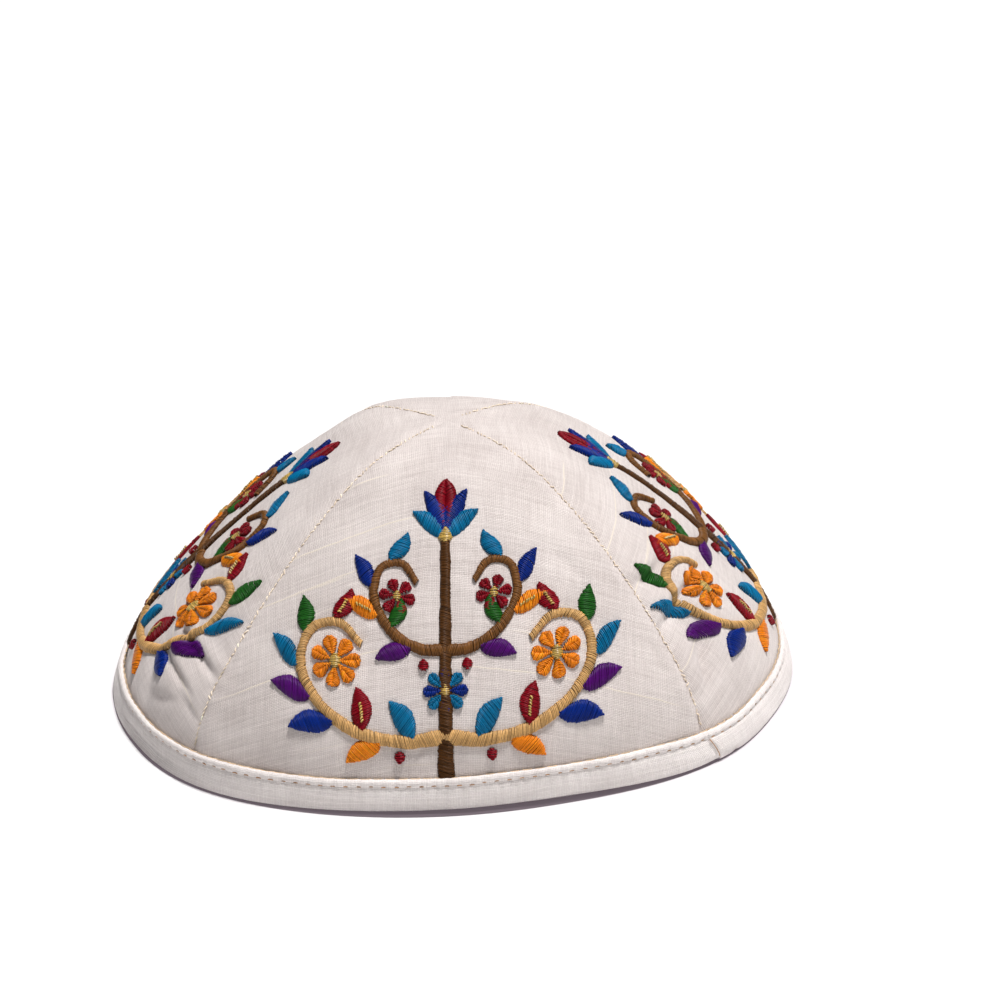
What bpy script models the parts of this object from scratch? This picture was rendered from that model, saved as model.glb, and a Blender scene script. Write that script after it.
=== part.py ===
"""A kippah of four cloth panels with a folded binding round its rim, resting on that rim with the crown up.

Each piece is made flat with ordinary modelling steps and then bent onto one crown form, so neighbours keep their gaps
wherever the form changes. Metres, +Z up. The origin is under the middle of the rim, the front panel faces -Y, and turns
are counted from the front towards +X.
"""

from math import cos, pi, radians, sin, sqrt
from typing import NamedTuple

import bmesh
import bpy
import numpy as np
from mathutils import Vector

# Overall sizes
RIM_WIDTH = 0.170
CROWN_HEIGHT = 0.070

# Cloth and the gaps between its pieces
PANEL_WALL = 0.0015
SEAM_GAP = 0.0003
BINDING_PLY = 0.0009
BINDING_CLEARANCE = 0.0005

# Binding
BINDING_HEIGHT = 0.0088
INNER_LEG_HEIGHT = 0.0080
LIP_HEIGHT = 0.0020
LIP_BULGE = 0.0006
HEM_ROUNDING = 0.0007
LAP_RISE = 0.0004
LAP_LENGTH = 0.012
LAP_TURN = radians(46.5)

# How the crown departs from a round: a turned oval, a flatter front, a forward lean and a fuller right side
OVAL = 0.038
OVAL_TURN = radians(24.5)
FLAT_FRONT = 0.030
FORWARD_LEAN = 0.005
RIGHT_FULLNESS = 0.012

# The bare cloth's rim lies inside the binding
CLOTH_RADIUS = RIM_WIDTH / 2 - BINDING_CLEARANCE - BINDING_PLY

# Mesh: two columns of a panel's lower edge for each of its rows, and one step of the binding for each column
PANEL_ROWS = 18
RIM_STEPS = 4 * 2 * PANEL_ROWS
PANELS = {"front": 0, "right": 90, "back": 180, "left": 270}
CLOTH_COLOUR = (0.80, 0.76, 0.72, 1.0)
BINDING_COLOUR = (0.84, 0.81, 0.78, 1.0)
CLOTH_ROUGHNESS = 0.9


class Level(NamedTuple):
    """A level of the crown, seen from the middle of the rim."""

    angle: float     # degrees up from the rim
    fullness: float  # reach, as a share of an ellipse through the rim and the apex
    corner: float    # how far the seams stand out past the middles of the panels, as a share


LEVELS = (
    Level(0, 1.000, 0.025),
    Level(15, 0.967, 0.035),
    Level(30, 0.918, 0.050),
    Level(45, 0.903, 0.075),
    Level(60, 0.933, 0.100),
    Level(75, 0.988, 0.115),
    Level(90, 1.000, 0.120),
)


class Dent(NamedTuple):
    """A soft fold or hollow in a panel. Lengths are shares of the crown's height."""

    turn: float    # degrees from the front
    rise: float    # degrees up from the rim
    length: float  # half length, along the fold
    width: float   # half width, across the fold
    tilt: float    # degrees from level to the fold's run
    depth: float   # positive inwards, negative outwards


DENTS = (
    Dent(-66, 17, 0.16, 0.045, -55, 0.016),
    Dent(-74, 30, 0.15, 0.050, -60, 0.013),
    Dent(-60, 24, 0.20, 0.070, -58, -0.012),
    Dent(52, 28, 0.16, 0.050, 70, 0.012),
    Dent(60, 33, 0.16, 0.060, 62, -0.010),
    Dent(-4, 12, 0.22, 0.060, 12, 0.008),
)


def wrapped(angle):
    """The angle brought between minus and plus a half turn."""
    return (angle + pi) % (2 * pi) - pi


def smooth(column, angle):
    """A column of LEVELS at an angle, by a cubic through its rows."""
    angles = np.radians([level.angle for level in LEVELS])
    values = np.array([getattr(level, column) for level in LEVELS])
    slopes = np.gradient(values, angles)
    i = int(np.clip(np.searchsorted(angles, angle, side="right") - 1, 0, len(LEVELS) - 2))
    step = angles[i + 1] - angles[i]
    t = (angle - angles[i]) / step
    ends = values[i] * (1 + 2 * t) * (1 - t) ** 2 + values[i + 1] * t * t * (3 - 2 * t)
    return ends + step * t * (1 - t) * (slopes[i] * (1 - t) - slopes[i + 1] * t)


def bare_crown(turn, rise):
    """A point of the cloth's outer face before any dent, and with the rim's middle not yet at the origin."""
    fullness = smooth("fullness", rise) + RIGHT_FULLNESS * sin(2 * rise) ** 2 * sin(turn)
    height_share = fullness * sin(rise)
    corner = 1 + smooth("corner", rise) * (1 - cos(4 * turn)) / 2
    front = 1 - FLAT_FRONT * (1 - height_share) * cos(3 * turn)
    radius = CLOTH_RADIUS * fullness * cos(rise) * corner * front
    x = radius * sin(turn)
    y = -radius * cos(turn)
    along = (x * cos(OVAL_TURN) + y * sin(OVAL_TURN)) * (1 + OVAL)
    across = (y * cos(OVAL_TURN) - x * sin(OVAL_TURN)) / (1 + OVAL)
    return Vector((
        along * cos(OVAL_TURN) - across * sin(OVAL_TURN),
        along * sin(OVAL_TURN) + across * cos(OVAL_TURN) - FORWARD_LEAN * height_share,
        CROWN_HEIGHT * height_share,
    ))


def rim_middle():
    """The middle of the bare rim's box, which is set on the origin."""
    turns = np.linspace(0, 2 * pi, RIM_STEPS, endpoint=False)
    rim = np.array([bare_crown(turn, 0)[:2] for turn in turns])
    return Vector((*((rim.min(axis=0) + rim.max(axis=0)) / 2), 0))


RIM_MIDDLE = rim_middle()


def dent_depth(turn, rise):
    """How deep the dents press the cloth in at a place on the crown."""
    depth = 0
    for dent in DENTS:
        side = wrapped(turn - radians(dent.turn)) * cos(rise) * CLOTH_RADIUS
        up = (rise - radians(dent.rise)) * CROWN_HEIGHT
        tilt = radians(dent.tilt)
        along = (side * cos(tilt) + up * sin(tilt)) / (dent.length * CROWN_HEIGHT)
        across = (up * cos(tilt) - side * sin(tilt)) / (dent.width * CROWN_HEIGHT)
        depth += dent.depth * CROWN_HEIGHT * np.exp(-along * along - across * across)
    return depth


def outward(turn, rise):
    """The direction that the bare crown faces, straight up at the apex."""
    nudge = radians(0.5)
    rise = min(rise, pi / 2 - nudge / 2)
    round_rim = bare_crown(turn + nudge, rise) - bare_crown(turn - nudge, rise)
    up_crown = bare_crown(turn, rise + nudge / 2) - bare_crown(turn, rise - nudge / 2)
    return round_rim.cross(up_crown).normalized()


def on_crown(turn, rise, out):
    """A point at a distance out from the panels' outer face."""
    facing = Vector((0, 0, 1)) if rise > radians(89) else outward(turn, rise)
    return bare_crown(turn, rise) - RIM_MIDDLE + facing * (out - dent_depth(turn, rise))


def rise_at(height):
    """The angle at which the crown reaches a height above the floor."""
    rises = np.linspace(0, pi / 2, 181)
    heights = [bare_crown(0, rise).z for rise in rises]
    return float(np.interp(height, heights, rises))


def beside_rim(turn, height, out):
    """A point at a height above the floor, a level distance out from the panels' outer face."""
    rise = rise_at(height)
    facing = outward(turn, rise)
    facing.z = 0
    place = bare_crown(turn, rise) - RIM_MIDDLE + facing.normalized() * out
    place.z = height
    return place


def make_material(name, colour):
    """A plain matt cloth."""
    material = bpy.data.materials.new(name)
    material.use_nodes = True
    shader = material.node_tree.nodes["Principled BSDF"]
    shader.inputs["Base Color"].default_value = colour
    shader.inputs["Roughness"].default_value = CLOTH_ROUGHNESS
    shader.inputs["Metallic"].default_value = 0.0
    return material


def add_object(name, bm, collection, colour):
    """A named object from a bmesh, facing out and shaded smooth, with its own material."""
    bmesh.ops.recalc_face_normals(bm, faces=bm.faces)
    mesh = bpy.data.meshes.new(name)
    bm.to_mesh(mesh)
    bm.free()
    mesh.shade_smooth()
    mesh.set_sharp_from_angle(angle=radians(40))
    mesh.materials.append(make_material(name, colour))
    piece = bpy.data.objects.new(name, mesh)
    collection.objects.link(piece)
    return piece


def flat_slab(rows, wall):
    """A square sheet from 0 to 1 each way and a wall thick, its outer face at no height."""
    bm = bmesh.new()
    bmesh.ops.create_grid(bm, x_segments=rows, y_segments=rows, size=0.5)
    bmesh.ops.translate(bm, verts=bm.verts, vec=(0.5, 0.5, 0))
    copied = bmesh.ops.extrude_face_region(bm, geom=bm.faces[:])["geom"]
    inner = [item for item in copied if isinstance(item, bmesh.types.BMVert)]
    bmesh.ops.translate(bm, verts=inner, vec=(0, 0, -wall))
    return bm


def make_panel(name, facing, collection):
    """One gore: a sheet with one corner at the apex and the two sides beyond it along the seams."""
    bm = flat_slab(PANEL_ROWS, PANEL_WALL)
    seat = BINDING_PLY + SEAM_GAP
    lowest = rise_at(seat)
    middle = radians(facing)
    set_out = Vector((sin(middle), -cos(middle), 0)) * SEAM_GAP / sqrt(2)
    for vert in bm.verts:
        down = max(vert.co.x, vert.co.y)
        along = (vert.co.y - vert.co.x) / down if down > 0 else 0
        rise = pi / 2 - down * (pi / 2 - lowest)
        vert.co = on_crown(middle + along * pi / 4, rise, vert.co.z) + set_out
        vert.co.z = max(vert.co.z, seat)
    return add_object(name, bm, collection, CLOTH_COLOUR)


def binding_section():
    """The folded strip's section, as distances out from the panels' outer face and heights above the floor."""
    outer = BINDING_CLEARANCE + BINDING_PLY
    inner = -PANEL_WALL - BINDING_CLEARANCE
    band = BINDING_HEIGHT - LIP_HEIGHT
    return [
        (outer - HEM_ROUNDING, 0),
        (outer, HEM_ROUNDING),
        (outer, band),
        (outer + LIP_BULGE, band + LIP_HEIGHT / 3),
        (outer + LIP_BULGE / 2, band + LIP_HEIGHT * 5 / 6),
        (outer - BINDING_PLY / 3, BINDING_HEIGHT),
        (BINDING_CLEARANCE, band + LIP_HEIGHT * 2 / 3),
        (BINDING_CLEARANCE, BINDING_PLY),
        (inner, BINDING_PLY),
        (inner, INNER_LEG_HEIGHT),
        (inner - BINDING_PLY, INNER_LEG_HEIGHT),
        (inner - BINDING_PLY, HEM_ROUNDING),
        (inner - BINDING_PLY + HEM_ROUNDING, 0),
    ]


def lap(turn):
    """How far the lapped end raises the binding: all at once at its fold, then easing away."""
    reach = wrapped(turn - LAP_TURN) * CLOTH_RADIUS / LAP_LENGTH
    return LAP_RISE * (1 - reach) if 0 <= reach <= 1 else 0


def make_binding(collection):
    """The binding: its section carried once round the rim."""
    section = binding_section()
    bm = bmesh.new()
    rings = []
    for step in range(RIM_STEPS):
        turn = 2 * pi * step / RIM_STEPS
        ring = []
        for out, height in section:
            raised = lap(turn) if out > BINDING_CLEARANCE and height > 0 else 0
            ring.append(bm.verts.new(beside_rim(turn, height, out + raised)))
        rings.append(ring)
    for this, other in zip(rings, rings[1:] + rings[:1]):
        for i in range(len(section)):
            j = (i + 1) % len(section)
            bm.faces.new((this[i], this[j], other[j], other[i]))
    return add_object("rim_binding", bm, collection, BINDING_COLOUR)


def main():
    """Builds the kippah in a collection of its own."""
    for item in list(bpy.data.objects):
        bpy.data.objects.remove(item)
    collection = bpy.data.collections.new("kippah")
    bpy.context.scene.collection.children.link(collection)
    for side, facing in PANELS.items():
        make_panel(f"panel_{side}", facing, collection)
    make_binding(collection)


if __name__ == "__main__":
    main()
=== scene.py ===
"""The looks of a four-panel cloth kippah with an embroidered crown and a folded binding round its rim.

Lengths are metres in the frame of the solids: +Z up, the front panel facing -Y. A place on the crown is given by its turn
from the front and its rise up from the rim, and a place on a panel by its pattern: how far it lies to the right of the
panel's middle line, and how far up from the rim.
"""

import logging
import math
from dataclasses import dataclass, field
from enum import Enum

import bpy
import numpy as np
from mathutils import Matrix, Vector


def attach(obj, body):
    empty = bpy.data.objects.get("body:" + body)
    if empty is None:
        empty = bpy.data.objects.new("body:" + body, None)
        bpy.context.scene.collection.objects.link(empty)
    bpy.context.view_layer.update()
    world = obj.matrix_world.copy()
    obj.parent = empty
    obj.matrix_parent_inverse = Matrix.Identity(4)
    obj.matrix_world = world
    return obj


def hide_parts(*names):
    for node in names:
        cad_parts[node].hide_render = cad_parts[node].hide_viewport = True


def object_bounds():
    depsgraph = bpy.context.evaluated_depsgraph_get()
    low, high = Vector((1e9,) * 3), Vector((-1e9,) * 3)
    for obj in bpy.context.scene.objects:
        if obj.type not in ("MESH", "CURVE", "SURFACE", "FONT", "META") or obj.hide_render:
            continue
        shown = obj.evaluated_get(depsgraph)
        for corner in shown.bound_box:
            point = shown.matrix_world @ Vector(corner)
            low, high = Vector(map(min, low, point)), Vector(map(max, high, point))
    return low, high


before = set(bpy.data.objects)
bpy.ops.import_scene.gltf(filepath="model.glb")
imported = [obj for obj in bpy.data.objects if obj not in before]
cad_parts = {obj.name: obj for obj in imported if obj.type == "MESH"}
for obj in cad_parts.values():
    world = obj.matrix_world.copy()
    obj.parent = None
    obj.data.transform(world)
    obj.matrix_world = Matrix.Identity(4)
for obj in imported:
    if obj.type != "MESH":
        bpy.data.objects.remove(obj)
CAD_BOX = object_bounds()

LOG = logging.getLogger("kippah")
MM = 0.001
QUARTER = math.pi / 2


def linear(red: float, green: float, blue: float) -> tuple[float, float, float]:
    """Turns a colour in 0 to 255 display values into linear light.

    Args:
        red: Display red.
        green: Display green.
        blue: Display blue.

    Returns:
        The three linear values.
    """
    shares = (red / 255, green / 255, blue / 255)
    return tuple(s / 12.92 if s <= 0.04045 else ((s + 0.055) / 1.055) ** 2.4 for s in shares)


class Floss(Enum):
    """The embroidery threads, each by its colour in linear light."""

    UMBER = linear(88, 54, 22)
    CHESTNUT = linear(122, 80, 40)
    HONEY = linear(208, 164, 106)
    COBALT = linear(0, 38, 126)
    TEAL = linear(0, 110, 156)
    LEAF = linear(30, 94, 26)
    CRIMSON = linear(138, 0, 24)
    PLUM = linear(80, 10, 106)
    AMBER = linear(246, 138, 24)
    GOLD = linear(206, 170, 84)
    SAND = linear(228, 200, 164)
    OAT = linear(238, 220, 198)
    IVORY = linear(240, 224, 202)
    TWINE = linear(196, 156, 122)


class Side(Enum):
    """The four panels, each by its turn from the front in degrees."""

    FRONT = 0
    RIGHT = 90
    BACK = 180
    LEFT = 270


@dataclass(frozen=True)
class Level:
    """A level of the crown, seen from the middle of the rim.

    angle is in degrees up from the rim, fullness the reach as a share of an ellipse through rim and apex, and corner
    how far the seams stand out past the panels' middles, as a share.
    """

    angle: float
    fullness: float
    corner: float


@dataclass(frozen=True)
class Fold:
    """A soft fold or hollow in the cloth. Angles are in degrees, lengths shares of the crown's height."""

    turn: float
    rise: float
    length: float
    width: float
    tilt: float
    depth: float


@dataclass(frozen=True)
class Crease:
    """A narrow crease with a low ridge beside it. Its ends are places on the panel's pattern, in millimetres."""

    side: Side
    start: tuple[float, float]
    end: tuple[float, float]
    bow: float
    width: float
    depth: float


@dataclass(frozen=True)
class Flare:
    """A stretch of the rim that spreads on the table, or draws in. Angles are in degrees."""

    turn: float
    spread: float
    reach: float


LEVELS = (
    Level(0, 1.000, 0.025),
    Level(15, 0.967, 0.035),
    Level(30, 0.918, 0.050),
    Level(45, 0.903, 0.075),
    Level(60, 0.933, 0.100),
    Level(75, 0.988, 0.115),
    Level(90, 1.000, 0.120),
)

FOLDS = (
    Fold(-66, 17, 0.16, 0.045, -55, 0.016),
    Fold(-74, 30, 0.15, 0.050, -60, 0.013),
    Fold(-60, 24, 0.20, 0.070, -58, -0.012),
    Fold(52, 28, 0.16, 0.050, 70, 0.012),
    Fold(60, 33, 0.16, 0.060, 62, -0.010),
    Fold(-4, 12, 0.22, 0.060, 12, 0.008),
    Fold(-155, 72, 0.24, 0.110, 0, -0.017),
    Fold(107, 14, 0.20, 0.080, 0, 0.012),
)


FLARES = (
    Flare(75, 38, 1.2 * MM),
    Flare(-95, 12, 1.3 * MM),
    Flare(112, 13, -1.4 * MM),
    Flare(22, 16, -1.2 * MM),
    Flare(-62, 12, -1.1 * MM),
    Flare(64, 11, -1.0 * MM),
)

CREASES = (
    Crease(Side.LEFT, (34.0, 26.2), (54.0, 21.0), 0.6, 0.9, 1.05),
    Crease(Side.LEFT, (31.0, 33.2), (56.0, 27.5), 0.9, 1.0, 1.25),
    Crease(Side.LEFT, (49.0, 21.0), (62.5, 15.2), 0.0, 0.8, 0.40),
    Crease(Side.LEFT, (38.0, 14.0), (52.0, 17.5), 0.0, 1.6, 0.50),
    Crease(Side.RIGHT, (-50.5, 37.0), (-24.0, 43.8), 1.0, 1.2, 1.60),
    Crease(Side.RIGHT, (-44.0, 50.0), (-31.0, 52.0), -0.5, 1.3, 1.40),
    Crease(Side.RIGHT, (-54.0, 19.0), (-42.0, 33.0), 0.6, 1.3, 1.00),
    Crease(Side.FRONT, (-8.0, 9.5), (-3.0, 20.0), 0.8, 1.3, 0.50),
    Crease(Side.FRONT, (26.0, 62.0), (38.0, 48.0), 1.0, 1.6, 0.35),
)


@dataclass
class CrownForm:
    """The form that all the cloth follows, the same as the solids'."""

    height: float
    width: float
    wall: float = 1.5 * MM
    binding_reach: float = 1.4 * MM
    oval: float = 0.038
    oval_turn: float = math.radians(24.5)
    flat_front: float = 0.030
    forward_lean: float = 5 * MM
    right_fullness: float = 0.012
    flare_height: float = math.radians(12)
    radius: float = field(init=False)
    middle: np.ndarray = field(init=False)

    def __post_init__(self) -> None:
        """Sets the radius and the middle so that the rim fills the frame's box."""
        turns = np.linspace(0, 2 * math.pi, 720, endpoint=False)
        self.radius = 1.0
        self.middle = np.zeros(3)
        rim = self.bare(turns, np.zeros_like(turns))
        span = rim[:, 0].max() - rim[:, 0].min()
        self.radius = (self.width - 2 * self.binding_reach) / span
        rim = self.bare(turns, np.zeros_like(turns))
        self.middle = (rim.max(axis=0) + rim.min(axis=0)) / 2

    def smooth(self, column: str, angle: np.ndarray) -> np.ndarray:
        """Reads a column of LEVELS at some angles, by a cubic through its rows.

        Args:
            column: The column's name.
            angle: Rises in radians.

        Returns:
            The column's values there.
        """
        angles = np.radians([level.angle for level in LEVELS])
        values = np.array([getattr(level, column) for level in LEVELS])
        slopes = np.gradient(values, angles)
        i = np.clip(np.searchsorted(angles, angle, side="right") - 1, 0, len(LEVELS) - 2)
        step = angles[i + 1] - angles[i]
        t = (angle - angles[i]) / step
        ends = values[i] * (1 + 2 * t) * (1 - t) ** 2 + values[i + 1] * t * t * (3 - 2 * t)
        return ends + step * t * (1 - t) * (slopes[i] * (1 - t) - slopes[i + 1] * t)

    def bare(self, turn: np.ndarray, rise: np.ndarray) -> np.ndarray:
        """Gives points of the cloth's outer face before any fold.

        Args:
            turn: Turns from the front, in radians.
            rise: Rises from the rim, in radians.

        Returns:
            One point for each place.
        """
        fullness = self.smooth("fullness", rise) + self.right_fullness * np.sin(2 * rise) ** 2 * np.sin(turn)
        height_share = fullness * np.sin(rise)
        corner = 1 + self.smooth("corner", rise) * (1 - np.cos(4 * turn)) / 2
        front = 1 - self.flat_front * (1 - height_share) * np.cos(3 * turn)
        reach = self.radius * fullness * np.cos(rise) * corner * front
        x = reach * np.sin(turn)
        y = -reach * np.cos(turn)
        c, s = math.cos(self.oval_turn), math.sin(self.oval_turn)
        along = (x * c + y * s) * (1 + self.oval)
        across = (y * c - x * s) / (1 + self.oval)
        points = np.stack([
            along * c - across * s,
            along * s + across * c - self.forward_lean * height_share,
            self.height * height_share,
        ], axis=-1)
        return points - self.middle

    def facing(self, turn: np.ndarray, rise: np.ndarray) -> np.ndarray:
        """Gives the directions that the bare crown faces.

        Args:
            turn: Turns from the front, in radians.
            rise: Rises from the rim, in radians.

        Returns:
            One unit vector for each place.
        """
        nudge = math.radians(0.4)
        rise = np.minimum(rise, QUARTER - nudge)
        around = self.bare(turn + nudge, rise) - self.bare(turn - nudge, rise)
        up = self.bare(turn, rise + nudge / 2) - self.bare(turn, rise - nudge / 2)
        normal = np.cross(around, up)
        return normal / np.linalg.norm(normal, axis=-1, keepdims=True)

    def folds(self, turn: np.ndarray, rise: np.ndarray) -> np.ndarray:
        """Gives how deep the folds press the cloth in.

        Args:
            turn: Turns from the front, in radians.
            rise: Rises from the rim, in radians.

        Returns:
            A depth for each place, negative where the cloth stands out.
        """
        depth = np.zeros(np.shape(turn))
        for fold in FOLDS:
            away = (turn - math.radians(fold.turn) + math.pi) % (2 * math.pi) - math.pi
            side = away * np.cos(rise) * self.radius
            up = (rise - math.radians(fold.rise)) * self.height
            tilt = math.radians(fold.tilt)
            along = (side * math.cos(tilt) + up * math.sin(tilt)) / (fold.length * self.height)
            across = (up * math.cos(tilt) - side * math.sin(tilt)) / (fold.width * self.height)
            depth = depth + fold.depth * self.height * np.exp(-along ** 2 - across ** 2)
        return depth

    def flared(self, turn: np.ndarray, rise: np.ndarray) -> np.ndarray:
        """Gives how far the soft rim spreads at its left and right when it stands on a table."""
        out = np.zeros(np.shape(turn))
        for flare in FLARES:
            away = (turn - math.radians(flare.turn) + math.pi) % (2 * math.pi) - math.pi
            out = out + flare.reach * np.exp(-(away / math.radians(flare.spread)) ** 2)
        return out * np.exp(-(rise / self.flare_height) ** 2)

    def place(self, turn: np.ndarray, rise: np.ndarray, out: np.ndarray) -> np.ndarray:
        """Gives points at some distances out from the panels' outer face.

        Args:
            turn: Turns from the front, in radians.
            rise: Rises from the rim, in radians.
            out: Distances outwards from the cloth.

        Returns:
            One point for each place.
        """
        lift = (out - self.folds(turn, rise) + self.flared(turn, rise))[..., None]
        return self.bare(turn, rise) + self.facing(turn, rise) * lift

    def rise_at(self, height: np.ndarray) -> np.ndarray:
        """Gives the rises at which the crown reaches some heights above the floor."""
        rises = np.linspace(0, QUARTER, 400)
        heights = self.bare(np.zeros_like(rises), rises)[:, 2]
        return np.interp(height, heights, rises)

    def beside_rim(self, turn: np.ndarray, height: np.ndarray, out: np.ndarray) -> np.ndarray:
        """Gives points at some heights, a level distance out from the panels' outer face.

        Args:
            turn: Turns from the front, in radians.
            height: Heights above the floor.
            out: Level distances outwards.

        Returns:
            One point for each place.
        """
        rise = self.rise_at(np.maximum(height, 0))
        level = self.facing(turn, rise)
        level[..., 2] = 0
        level /= np.linalg.norm(level, axis=-1, keepdims=True)
        points = self.bare(turn, rise) + level * (np.asarray(out) + self.flared(turn, rise))[..., None]
        points[..., 2] = height
        return points


@dataclass
class Gore:
    """The flat pattern of one panel, laid on the crown form."""

    form: CrownForm
    side: Side
    sink: float = 0.3 * MM
    pulls: np.ndarray = field(default_factory=lambda: np.zeros((0, 2)))
    rises: np.ndarray = field(init=False)
    ups: np.ndarray = field(init=False)
    halves: np.ndarray = field(init=False)

    def __post_init__(self) -> None:
        """Measures the panel's middle line and its half width at each rise."""
        self.rises = np.linspace(0, QUARTER, 241)
        line = self.form.bare(np.full_like(self.rises, self.turn), self.rises)
        steps = np.linalg.norm(np.diff(line, axis=0), axis=1)
        self.ups = np.concatenate([[0], np.cumsum(steps)])
        turns = self.turn + np.linspace(0, math.pi / 4, 33)
        grid = self.form.bare(*np.meshgrid(turns, self.rises))
        self.halves = np.linalg.norm(np.diff(grid, axis=1), axis=2).sum(axis=1)

    @property
    def turn(self) -> float:
        """The turn of the panel's middle line, in radians."""
        return math.radians(self.side.value)

    @property
    def length(self) -> float:
        """The panel's length along its middle line."""
        return float(self.ups[-1])

    @property
    def width(self) -> float:
        """The panel's width along the rim."""
        return float(2 * self.halves[0])

    @property
    def area(self) -> float:
        """The panel's area as cut."""
        middles = self.halves[1:] + self.halves[:-1]
        return float((middles * np.diff(self.ups)).sum())

    def to_crown(self, pattern: np.ndarray) -> tuple[np.ndarray, np.ndarray]:
        """Turns pattern places into places on the crown.

        Args:
            pattern: Pairs of distance right of the middle line and distance up from the rim.

        Returns:
            Turns and rises.
        """
        rise = np.interp(pattern[..., 1], self.ups, self.rises)
        half = np.maximum(np.interp(rise, self.rises, self.halves), 1e-5)
        return self.turn + pattern[..., 0] / half * math.pi / 4, rise

    def to_pattern(self, turn: np.ndarray, rise: np.ndarray) -> np.ndarray:
        """Turns places on the crown into pattern places.

        Args:
            turn: Turns from the front, in radians.
            rise: Rises from the rim, in radians.

        Returns:
            Pairs of distance right of the middle line and distance up from the rim.
        """
        half = np.interp(rise, self.rises, self.halves)
        across = (turn - self.turn) / (math.pi / 4) * half
        return np.stack([across, np.interp(rise, self.rises, self.ups)], axis=-1)

    def weave(self, pattern: np.ndarray) -> np.ndarray:
        """Turns pattern places into places on the straight-woven cloth, cut as a fan round the apex.

        Args:
            pattern: Pattern places.

        Returns:
            Places along and across the weave.
        """
        reach = np.maximum(self.length - pattern[..., 1], 1e-5)
        angle = pattern[..., 0] / reach
        return np.stack([reach * np.sin(angle), self.length - reach * np.cos(angle)], axis=-1)

    def pull(self, pattern: np.ndarray) -> np.ndarray:
        """Gives how the dense stitches draw the cloth in and pucker it beside them.

        Args:
            pattern: Pattern places.

        Returns:
            A distance for each place, positive outwards.
        """
        if not len(self.pulls):
            return np.zeros(pattern.shape[:-1])
        flat = np.stack([np.abs(pattern[..., 0]).ravel(), pattern[..., 1].ravel()], axis=1)
        away = np.empty(len(flat))
        near = np.empty(len(flat))
        for start in range(0, len(flat), 4000):
            gap = np.linalg.norm(flat[start:start + 4000, None] - self.pulls[None], axis=2)
            near[start:start + 4000] = gap.argmin(axis=1)
            away[start:start + 4000] = gap.min(axis=1)
        drawn = -0.22 * MM * np.exp(-(away / (2.8 * MM)) ** 2)
        pucker = 0.09 * MM * np.sin(near * 1.15 + np.sin(near * 0.31)) * np.exp(-((away - 4.0 * MM) / (2.4 * MM)) ** 2)
        return (drawn + pucker).reshape(pattern.shape[:-1])

    def creases(self, pattern: np.ndarray) -> np.ndarray:
        """Gives the panel's creases.

        Args:
            pattern: Pattern places.

        Returns:
            A distance for each place, positive outwards.
        """
        out = np.zeros(pattern.shape[:-1])
        for crease in CREASES:
            if crease.side is not self.side:
                continue
            start = np.array(crease.start) * MM
            run = np.array(crease.end) * MM - start
            reach = np.linalg.norm(run)
            run /= reach
            away = pattern - start
            share = (away[..., 0] * run[0] + away[..., 1] * run[1]) / reach
            inside = np.clip(share, 0, 1)
            across = away[..., 1] * run[0] - away[..., 0] * run[1] - crease.bow * MM * np.sin(math.pi * inside)
            width = crease.width * MM
            past = (share - inside) * reach
            fade = np.exp(-(past / (2 * width)) ** 2) * (0.35 + 0.65 * np.sin(math.pi * inside))
            valley = np.exp(-(across / width) ** 2)
            ridge = np.exp(-((across - 2.4 * width) / (1.8 * width)) ** 2)
            out = out + crease.depth * MM * fade * (0.5 * ridge - valley)
        return out

    def relief(self, pattern: np.ndarray) -> np.ndarray:
        """Gives how far the cloth stands out of its smooth form: seam valleys, their puckers, and slack.

        Args:
            pattern: Pattern places.

        Returns:
            A distance for each place, positive outwards.
        """
        rise = np.interp(pattern[..., 1], self.ups, self.rises)
        half = np.interp(rise, self.rises, self.halves)
        seam = np.maximum(half - np.abs(pattern[..., 0]), 0)
        up = pattern[..., 1]
        phase = self.side.value + np.sign(pattern[..., 0])
        valley = -0.17 * MM * np.exp(-(seam / (0.7 * MM)) ** 2)
        welt = 0.20 * MM * np.exp(-((seam - 2.4 * MM) / (1.5 * MM)) ** 2)
        seam_number = (self.side.value // 90 + (pattern[..., 0] > 0)) % 4
        run = rise * self.form.radius
        wave = np.sin(run / (1.15 * MM) + 2 * np.sin(run / (5.1 * MM) + seam_number) + seam_number)
        low = 0.6 + 0.9 * np.exp(-(run / (32 * MM)) ** 2)
        pucker = 0.13 * MM * low * wave * np.exp(-seam / (3.2 * MM))
        x, y = pattern[..., 0] / MM, up / MM
        slack = 0.13 * MM * (
            np.sin(x / 7.3 + 1.7 * np.sin(y / 11.9 + phase) + phase)
            + np.sin(y / 6.1 + 1.3 * np.sin(x / 9.7 - phase))
            + 0.7 * np.sin((x + y) / 4.3 + np.sin(y / 5.9))
        )
        slack = slack * np.clip(seam / (6 * MM), 0, 1)
        return valley + welt + pucker + slack + self.creases(pattern) + self.pull(pattern) - self.sink


def deselect() -> None:
    """Leaves edit mode and deselects every object."""
    if bpy.context.object and bpy.context.object.mode != "OBJECT":
        bpy.ops.object.mode_set(mode="OBJECT")
    bpy.ops.object.select_all(action="DESELECT")


def apply_modifier(piece: bpy.types.Object, kind: str, **settings: float) -> None:
    """Adds a modifier to a piece and applies it.

    Args:
        piece: The piece.
        kind: The modifier's type.
        settings: The modifier's values by name.
    """
    deselect()
    piece.select_set(True)
    bpy.context.view_layer.objects.active = piece
    modifier = piece.modifiers.new(kind.title(), kind)
    for name, value in settings.items():
        setattr(modifier, name, value)
    bpy.ops.object.modifier_apply(modifier=modifier.name)


def set_points(mesh: bpy.types.Mesh, points: np.ndarray) -> None:
    """Moves all of a mesh's points at once."""
    mesh.vertices.foreach_set("co", np.ascontiguousarray(points, dtype=np.float32).ravel())
    mesh.update()


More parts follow.
